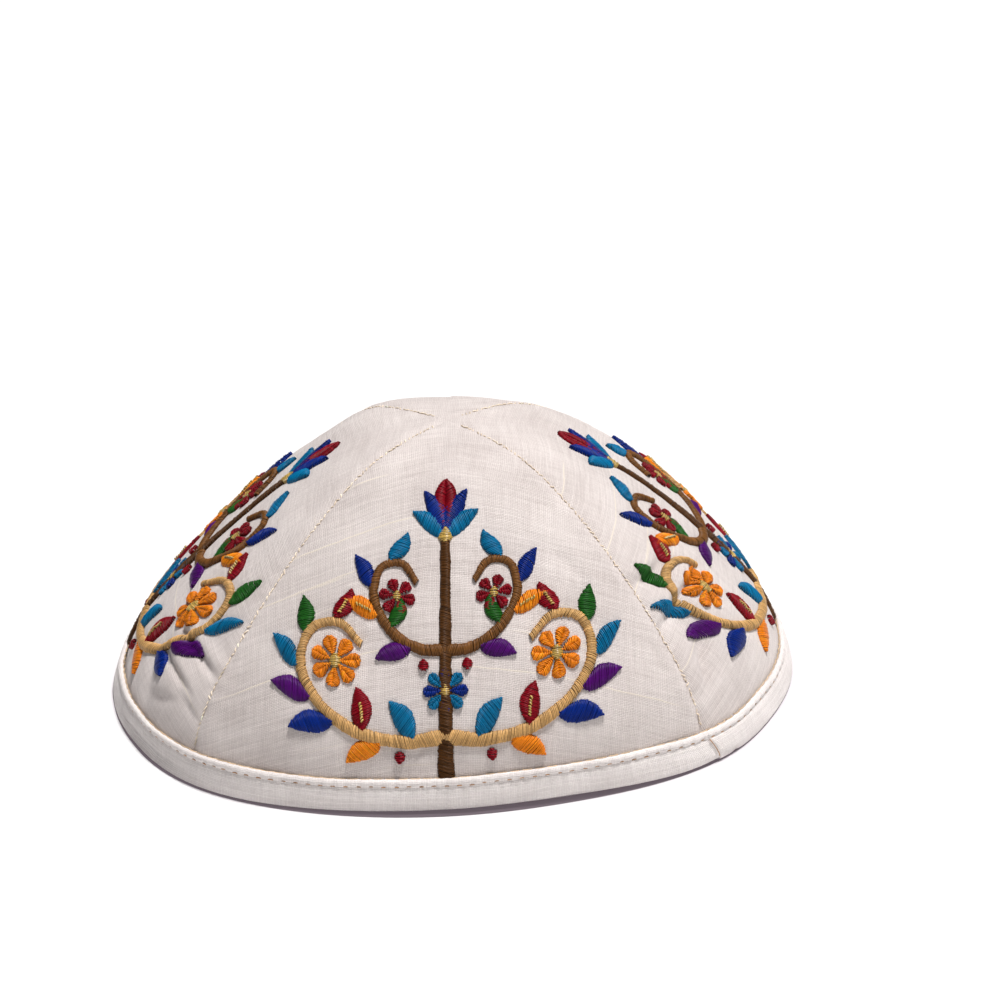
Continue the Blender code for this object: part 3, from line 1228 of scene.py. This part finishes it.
@dataclass
class Binding:
    """The folded strip round the rim: a rolled lip, a line of stitches under it, a smooth band and a lapped end."""

    form: CrownForm
    cloth: bpy.types.Material
    thread: bpy.types.Material
    ply: float = 0.9 * MM
    clearance: float = 0.3 * MM
    height: float = 8.2 * MM
    groove: float = 6.5 * MM
    inner_height: float = 7.6 * MM
    steps: int = 1080
    stitch_pitch: float = 3.05 * MM
    stitch_length: float = 1.15 * MM
    lap_turn: float = math.radians(45.0)
    lap_fade: float = 26 * MM
    lap_step: float = 0.45 * MM
    lap_bulge: float = 2.3 * MM
    front_lift: float = 0.55 * MM
    front_turn: float = math.radians(-5)
    front_spread: float = math.radians(26)
    rise_lift: float = 0.8 * MM
    rise_turn: float = math.radians(22)
    rise_spread: float = math.radians(17)
    tuck: float = 2.0 * MM
    tuck_turn: float = math.radians(-57)
    tuck_spread: float = math.radians(16)

    def section(self) -> np.ndarray:
        """Gives the strip's section as distances out and heights, round from the hem up the outside.

        Returns:
            A closed loop of points.
        """
        outer = self.form.binding_reach / MM
        top, groove = self.height / MM, self.groove / MM
        inner = -(self.form.wall + self.clearance) / MM
        leg, ply = self.inner_height / MM, self.ply / MM
        return MM * np.array([
            (outer - 1.5, 0.0), (outer - 0.15, 0.02), (outer + 0.30, 0.20), (outer + 0.42, 0.70),
            (outer + 0.42, 2.0), (outer + 0.35, 3.2), (outer + 0.24, 4.4), (outer + 0.09, 5.5),
            (outer - 0.06, groove - 0.45), (outer - 0.18, groove - 0.15), (outer - 0.18, groove + 0.08),
            (outer - 0.02, groove + 0.26), (outer + 0.12, groove + 0.50), (outer + 0.17, groove + 0.85),
            (outer + 0.06, groove + 1.25), (outer - 0.22, top - 0.14), (outer - 0.60, top),
            (outer - 1.00, top - 0.30), (0.12, groove + 0.4), (0.1, 3.0), (0.0, 1.4), (inner, 1.4), (inner, 3.0),
            (inner, leg - 0.6), (inner - ply * 0.4, leg), (inner - ply, leg - 0.5), (inner - ply, 3.0),
            (inner - ply, 0.8), (inner - ply * 0.6, 0.1), (inner, 0.0),
        ])

    def turns(self) -> np.ndarray:
        """Gives the turns of the strip's sections, two of which stand close together at the lapped end."""
        turns = np.linspace(0, 2 * math.pi, self.steps + 1)
        lap = int(np.searchsorted(turns, self.lap_turn))
        turns[lap] = self.lap_turn
        turns[lap + 1] = self.lap_turn + 0.12 * MM / self.form.radius
        return turns

    def lap_shift(self, height: np.ndarray) -> np.ndarray:
        """Gives how far the lapped end's fold bows forward along the rim at some heights."""
        share = np.clip(height / self.groove, 0, 1)
        return self.lap_bulge * np.cos(math.pi / 2 * share)

    def swell(self, turn: np.ndarray, middle: float, spread: float) -> np.ndarray:
        """Gives a smooth share round one turn of the rim."""
        away = (turn - middle + math.pi) % (2 * math.pi) - math.pi
        return np.exp(-(away / spread) ** 2)

    def shape(self, turn: np.ndarray, out: np.ndarray, height: np.ndarray) -> np.ndarray:
        """Places points of the strip, with its slack, the pull of its stitches and its lapped end.

        Args:
            turn: Turns from the front, in radians.
            out: Distances out, from the section.
            height: Heights, from the section.

        Returns:
            One point for each.
        """
        outside = out > 0.2 * MM
        run = turn * self.form.radius
        prick = (0.5 + 0.5 * np.cos(2 * math.pi * run / self.stitch_pitch)) ** 3
        seat = np.exp(-((height - self.groove) / (0.7 * MM)) ** 2)
        lip = np.clip((height - self.groove) / (1.2 * MM), 0, 1)
        slack = np.sin(run / (9.1 * MM)) + np.sin(run / (5.3 * MM) + 1.1) + 0.6 * np.sin(run / (2.9 * MM))
        away = (turn - self.lap_turn + math.pi) % (2 * math.pi) - math.pi
        past = away * self.form.radius
        raised = np.where(past > 0.02 * MM, np.maximum(1 - past / self.lap_fade, 0) ** 2, 0)
        below = np.clip((self.groove + 0.3 * MM - height) / (1.0 * MM), 0, 1)
        bulge = -0.24 * MM * prick * seat - 0.20 * MM * prick * lip + 0.11 * MM * slack
        bulge = bulge + self.lap_step * raised * (0.35 + 0.65 * below)
        bulge = bulge - 0.05 * MM * np.exp(-(past / (1.0 * MM)) ** 2) * (past <= 0.02 * MM)
        hem = np.clip(1 - height / (2.5 * MM), 0, 1)
        lifted = 0.40 * MM * np.exp(-(past / (5 * MM)) ** 2) * (past <= 0.02 * MM)
        notch = 0.35 * MM * np.exp(-((past - 6.5 * MM) / (1.3 * MM)) ** 2)
        wave = 0.12 * MM * np.sin(run / (6.7 * MM) + 0.4) * (height > self.groove)
        lifted = lifted + self.front_lift * self.swell(turn, self.front_turn, self.front_spread)
        wave = wave + self.rise_lift * self.swell(turn, self.rise_turn, self.rise_spread)
        bulge = bulge - self.tuck * self.swell(turn, self.tuck_turn, self.tuck_spread) * (1 - height / self.height)
        bent = turn + self.lap_shift(height) / self.form.radius * np.exp(-(past / (7 * MM)) ** 2)
        return self.form.beside_rim(
            np.where(outside, bent, turn),
            height + (hem * (lifted + notch) + wave) * outside,
            out + bulge * outside * np.clip(height / (1.5 * MM), 0.3, 1),
        )

    def build(self) -> bpy.types.Object:
        """Shapes the strip from a flat grid that is wrapped into a ring with the strip's section.

        Returns:
            The piece.
        """
        section = self.section()
        count = len(section)
        deselect()
        bpy.ops.mesh.primitive_grid_add(x_subdivisions=self.steps, y_subdivisions=count, size=1, location=(0.5, 0.5, 0))
        piece = bpy.context.object
        piece.name = piece.data.name = "binding"
        bpy.ops.object.transform_apply(location=True, rotation=False, scale=False)
        mesh = piece.data
        flat = get_points(mesh)
        step = np.rint(flat[:, 0] * self.steps).astype(int)
        knot = np.rint(flat[:, 1] * count).astype(int)
        turns = self.turns()
        turn = turns[step % self.steps]
        set_points(mesh, self.shape(turn, section[knot % count, 0], section[knot % count, 1]))
        closed = np.vstack([section, section[:1]])
        around = np.concatenate([[0], np.cumsum(np.linalg.norm(np.diff(closed, axis=0), axis=1))])
        set_pattern(mesh, np.stack([turns[step] * self.form.radius, around[knot]], axis=1))
        bpy.ops.object.mode_set(mode="EDIT")
        bpy.ops.mesh.select_all(action="SELECT")
        bpy.ops.mesh.remove_doubles(threshold=1e-7)
        bpy.ops.mesh.normals_make_consistent(inside=False)
        bpy.ops.object.mode_set(mode="OBJECT")
        mesh.shade_smooth()
        mesh.materials.append(self.cloth)
        return piece

    def dashes(self, name: str, starts: np.ndarray, length: float, out: float, height: float, radius: float,
               floss: Floss, dip: float) -> bpy.types.Object:
        """Sews a row of short threads along the strip.

        Args:
            name: The piece's name.
            starts: Where each thread's middle lies along the rim.
            length: The threads' length.
            out: How far out they lie.
            height: How high they lie.
            radius: Their radius.
            floss: Their colour.
            dip: How far their ends dive into the cloth.

        Returns:
            The piece.
        """
        dice = np.random.default_rng(11)
        share = np.array([-0.5, -0.38, 0.0, 0.38, 0.5])
        sunk = np.array([1.0, 0.15, 0.0, 0.15, 1.0])
        spread = length * dice.normal(1, 0.12, (len(starts), 1))
        run = starts[:, None] + spread * share + dice.normal(0, 0.10 * MM, (len(starts), 1))
        turn = run / self.form.radius
        high = height + dice.normal(0, 0.05 * MM, (len(starts), 1)) + 0 * run
        centre = self.shape(turn, out - dip * sunk + 0 * run, high)
        facing = self.form.facing(turn, self.form.rise_at(high))
        tint = dice.normal(1, 0.12, (len(starts), 1))
        return threads(name, centre, facing, radius, np.clip(np.array(floss.value) * tint, 0, 1), self.thread)

    def sew(self) -> list[bpy.types.Object]:
        """Sews the row of stitches, the thread that shows along the lip, and the one down the lapped end.

        Returns:
            The pieces.
        """
        around = 2 * math.pi * self.form.radius
        outer = self.form.binding_reach
        marks = np.arange(round(around / self.stitch_pitch)) * self.stitch_pitch
        row = self.dashes("topstitch", marks, self.stitch_length, outer - 0.12 * MM, self.groove, 0.17 * MM,
                          Floss.TWINE, 0.40 * MM)
        edge = self.dashes("lip_thread", marks + 0.5 * self.stitch_pitch, 2.7 * MM, 0.26 * MM, self.height - 0.25 * MM,
                           0.14 * MM, Floss.SAND, 0.25 * MM)
        height = np.linspace(self.groove - 0.2 * MM, 0.7 * MM, 24)[None]
        centre = self.shape(np.full_like(height, self.lap_turn), np.full_like(height, outer + 0.42 * MM), height)
        facing = self.form.facing(np.full_like(height, self.lap_turn), self.form.rise_at(height))
        lap = threads("lap_thread", centre, facing, 0.15 * MM, np.array([Floss.TWINE.value]), self.thread)
        return [row, edge, lap]

    def dress(self, ring: bpy.types.Object, sewing: list[bpy.types.Object]) -> None:
        """Seats the strip on its solid, with its threads."""
        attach(ring, "root")
        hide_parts("rim_binding")
        for piece in sewing:
            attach(piece, "root")


@dataclass
class Seams:
    """The thread that shows in the four seams between the panels."""

    form: CrownForm
    thread: bpy.types.Material
    shades: tuple[Floss, ...] = (Floss.OAT, Floss.IVORY, Floss.IVORY, Floss.IVORY)
    pitch: float = 1.30 * MM
    length: float = 0.95 * MM
    radius: float = 0.18 * MM
    lowest: float = 8.5 * MM
    depth: float = 0.14 * MM

    def build(self) -> bpy.types.Object:
        """Sews small stitches up every seam, a little uneven in length and place.

        Returns:
            The piece.
        """
        dice = np.random.default_rng(23)
        gore = Gore(self.form, Side.FRONT)
        seam = math.pi / 4
        rises = np.linspace(float(self.form.rise_at(self.lowest)), math.radians(87), 400)
        line = self.form.bare(np.full_like(rises, seam), rises)
        reach = np.concatenate([[0], np.cumsum(np.linalg.norm(np.diff(line, axis=0), axis=1))])
        marks = np.arange(self.pitch, reach[-1], self.pitch)
        turns = np.repeat(seam + math.pi / 2 * np.arange(4), len(marks))
        middles = np.tile(marks, 4) + dice.normal(0, 0.12 * MM, 4 * len(marks))
        share = np.array([-0.5, -0.3, 0.0, 0.3, 0.5])
        sunk = np.array([0.30, 0.03, 0.0, 0.03, 0.30]) * MM
        run = middles[:, None] + self.length * dice.normal(1, 0.2, (len(middles), 1)) * share
        rise = np.interp(run, reach, rises)
        lean = dice.normal(0, 0.18 * MM, (len(middles), 1)) * np.sign(share)
        turn = turns[:, None] + lean / (self.form.radius * np.cos(rise))
        out = -self.depth + self.radius - sunk + 0 * rise
        centre = self.form.place(turn, rise, out - gore.sink)
        tint = dice.normal(1, 0.10, (len(middles), 1))
        shades = np.array([self.shades[i].value for i in range(4)])
        colour = np.clip(np.repeat(shades, len(marks), axis=0) * tint, 0, 1)
        return threads("seam_thread", centre, self.form.facing(turn, rise), self.radius, colour, self.thread)


@dataclass(frozen=True)
class Studio:
    """A pale floor, soft light from the upper right and a camera at the photograph's angle."""

    form: CrownForm
    distance: float = 0.75
    elevation: float = math.radians(25.5)
    azimuth: float = math.radians(0.18)
    roll: float = math.radians(1.49)
    pixels_per_metre: float = 3849
    aim: tuple[float, float, float] = (0.0003, -0.0024, 0.030)
    aim_pixel: tuple[float, float] = (451.3, 553.3)
    picture: float = 1000
    sensor: float = 36
    paper: tuple[float, float, float] = (0.78, 0.78, 0.78)
    # Painted shade on the floor: its colour darkens towards this one where ambient occlusion finds the crown close by.
    nook_shade: tuple[float, float, float] = (0.60, 0.57, 0.60)
    nook_shade_reach: float = 5 * MM
    # The floor shade's disc is a painted shadow, and its glow is painted light.
    shade: tuple[float, float, float] = (0.06, 0.05, 0.056)
    shade_glow: tuple[float, float, float] = (0.112, 0.090, 0.104)
    shade_width: float = 1.7 * MM
    shade_turn: float = math.radians(0)
    shade_spread: float = math.radians(32)
    dim_sky: tuple[float, float, float] = (0.04, 0.04, 0.05)
    bright_sky: tuple[float, float, float] = (0.24, 0.24, 0.24)

    def camera(self) -> None:
        """Sets the camera up."""
        a, e = self.azimuth, self.elevation
        forward = Vector((-math.sin(a) * math.cos(e), math.cos(a) * math.cos(e), -math.sin(e)))
        right = Vector((math.cos(a), math.sin(a), 0))
        up = right.cross(forward)
        place = Vector(self.aim) - forward * self.distance
        right, up = (right * math.cos(self.roll) - up * math.sin(self.roll),
                     up * math.cos(self.roll) + right * math.sin(self.roll))
        focal = self.pixels_per_metre * self.distance
        off_x = (self.picture / 2 - self.aim_pixel[0]) / focal
        off_y = (self.aim_pixel[1] - self.picture / 2) / focal
        look = (forward + right * off_x + up * off_y).normalized()
        side = look.cross(up).normalized()
        top = side.cross(look)
        data = bpy.data.cameras.new("camera")
        data.lens = focal / self.picture * self.sensor
        data.sensor_width = self.sensor
        data.clip_start, data.clip_end = 0.05, 20
        camera = bpy.data.objects.new("camera", data)
        camera.matrix_world = Matrix((
            (side.x, top.x, -look.x, place.x), (side.y, top.y, -look.y, place.y), (side.z, top.z, -look.z, place.z),
            (0, 0, 0, 1)))
        bpy.context.scene.collection.objects.link(camera)
        bpy.context.scene.camera = camera

    def floor(self) -> bpy.types.Object:
        """Lays the floor, its colour darkened near the crown as painted shade.

        Returns:
            The floor.
        """
        deselect()
        bpy.ops.mesh.primitive_plane_add(size=6, location=(0, 0, -0.0002))
        floor = bpy.context.object
        floor.name = "floor"
        bpy.ops.object.transform_apply(location=True, rotation=False, scale=False)
        material = bpy.data.materials.new("pale_floor")
        material.use_nodes = True
        graph = Graph(material.node_tree)
        shader = material.node_tree.nodes["Principled BSDF"]
        # Painted shade: ambient occlusion darkens the floor's colour near the crown.
        nook_shade = material.node_tree.nodes.new("ShaderNodeAmbientOcclusion")
        nook_shade.inputs["Distance"].default_value = self.nook_shade_reach
        colour = graph.mix(graph.ramp(nook_shade.outputs["AO"], 0.55, 0.80, 0.0, 1.0), self.nook_shade, self.paper)
        graph.feed(shader.inputs["Base Color"], colour)
        shader.inputs["Roughness"].default_value = 1.0
        shader.inputs["Specular IOR Level"].default_value = 0.0
        floor.data.materials.append(material)
        return floor

    def contact_shade(self) -> bpy.types.Object:
        """Lays a dark disc on the floor that reaches past the rim at the front: a painted shadow with a crisp edge,
        which also glows a little so that the painted shadow is not black.

        Returns:
            The shade.
        """
        deselect()
        bpy.ops.mesh.primitive_circle_add(vertices=360, radius=1, fill_type="NGON")
        shade = bpy.context.object
        shade.name = "floor_shade"
        flat = get_points(shade.data)
        turn = np.arctan2(flat[:, 0], -flat[:, 1])
        reach = self.shade_width * np.exp(-((turn - self.shade_turn) / self.shade_spread) ** 2) + 0.2 * MM
        points = self.form.beside_rim(turn, 0 * turn, self.form.binding_reach + reach)
        points[:, 2] = -0.1 * MM
        set_points(shade.data, points)
        material = bpy.data.materials.new("floor_shade")
        material.use_nodes = True
        shader = material.node_tree.nodes["Principled BSDF"]
        # Painted shadow: a dark colour, with an emission glow that paints a little light into it.
        shader.inputs["Base Color"].default_value = (*self.shade, 1.0)
        shader.inputs["Emission Color"].default_value = (*self.shade_glow, 1.0)
        shader.inputs["Emission Strength"].default_value = 1.0
        shader.inputs["Roughness"].default_value = 1.0
        shader.inputs["Specular IOR Level"].default_value = 0.0
        shade.data.materials.append(material)
        return shade

    def light(self, name: str, place: tuple[float, float, float], size: float, power: float,
              colour: tuple[float, float, float]) -> None:
        """Hangs a soft light that looks at the crown.

        Args:
            name: Its name.
            place: Where it hangs.
            size: Its width.
            power: Its power in watts.
            colour: Its colour.
        """
        data = bpy.data.lights.new(name, "AREA")
        data.shape = "DISK"
        data.size = size
        data.energy = power
        data.color = colour
        lamp = bpy.data.objects.new(name, data)
        lamp.location = place
        lamp.rotation_euler = (Vector((0, 0, 0.03)) - Vector(place)).to_track_quat("-Z", "Y").to_euler()
        bpy.context.scene.collection.objects.link(lamp)

    def build(self) -> None:
        """Sets the whole studio up."""
        self.camera()
        self.floor()
        self.contact_shade()
        self.light("key", (1.05, 0.60, 5.95), 1.40, 468, (1.0, 0.985, 0.975))
        self.light("front", (0.65, -1.58, 0.42), 0.8, 5.6, (1.0, 0.99, 0.98))
        world = bpy.data.worlds.new("studio")
        world.use_nodes = True
        graph = Graph(world.node_tree)
        sky = world.node_tree.nodes["Background"]
        way = world.node_tree.nodes.new("ShaderNodeTexCoord").outputs["Generated"]
        split = world.node_tree.nodes.new("ShaderNodeSeparateXYZ")
        graph.feed(split.inputs[0], way)
        lean = graph.sum("MULTIPLY_ADD", split.outputs[0], 0.5, graph.sum("MULTIPLY", split.outputs[2], 0.6))
        graph.feed(sky.inputs["Color"], graph.mix(graph.ramp(lean, -0.5, 1.0, 0.0, 1.0), self.dim_sky, self.bright_sky))
        sky.inputs["Strength"].default_value = 1.0
        bpy.context.scene.world = world
        bpy.context.scene.view_settings.view_transform = "Standard"


@dataclass(frozen=True)
class Finishes:
    """The finishes of the kippah's own materials."""

    cloth: WovenCloth = WovenCloth("cream_cloth", linear(235, 226, 222), linear(163, 149, 145))
    strip: WovenCloth = WovenCloth("binding_cloth", linear(252, 245, 242), linear(206, 196, 193), pitch=0.40 * MM,
                                   relief=0.09 * MM, unevenness=0.9, slubs=0.0)
    floss: SilkyThread = SilkyThread("embroidery_floss")
    metal: SilkyThread = SilkyThread("gold_floss", roughness=0.3, gloss=0.8)


def triangles(piece: bpy.types.Object) -> int:
    """Counts a piece's triangles."""
    return len(piece.data.loops) - 2 * len(piece.data.polygons)


def main() -> None:
    """Builds every piece in order and reports it."""
    logging.basicConfig(level=logging.INFO, format="%(message)s")
    low, high = CAD_BOX
    form = CrownForm(height=high.z - low.z, width=high.x - low.x)
    finishes = Finishes()
    cloth, strip = finishes.cloth.material(), finishes.strip.material()
    floss, metal = finishes.floss.material(), finishes.metal.material()
    for side in Side:
        gore = Gore(form, side)
        spray = Spray(gore, floss, metal, top=0.53 if side is Side.BACK else 0.62)
        gore.pulls = spray.lines()
        panel = Panel(gore, cloth)
        piece = panel.build()
        sewn_on = spray.build()
        spray.dress(sewn_on)
        panel.dress(piece, sewn_on)
        for part in (piece, *sewn_on):
            LOG.info("%s: %d triangles", part.name, triangles(part))
    binding = Binding(form, strip, floss)
    ring = binding.build()
    sewing = binding.sew()
    binding.dress(ring, sewing)
    seam_thread = Seams(form, floss).build()
    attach(seam_thread, "root")
    for part in (ring, *sewing, seam_thread):
        LOG.info("%s: %d triangles", part.name, triangles(part))
    Studio(form).build()


if __name__ == "__main__":
    main()
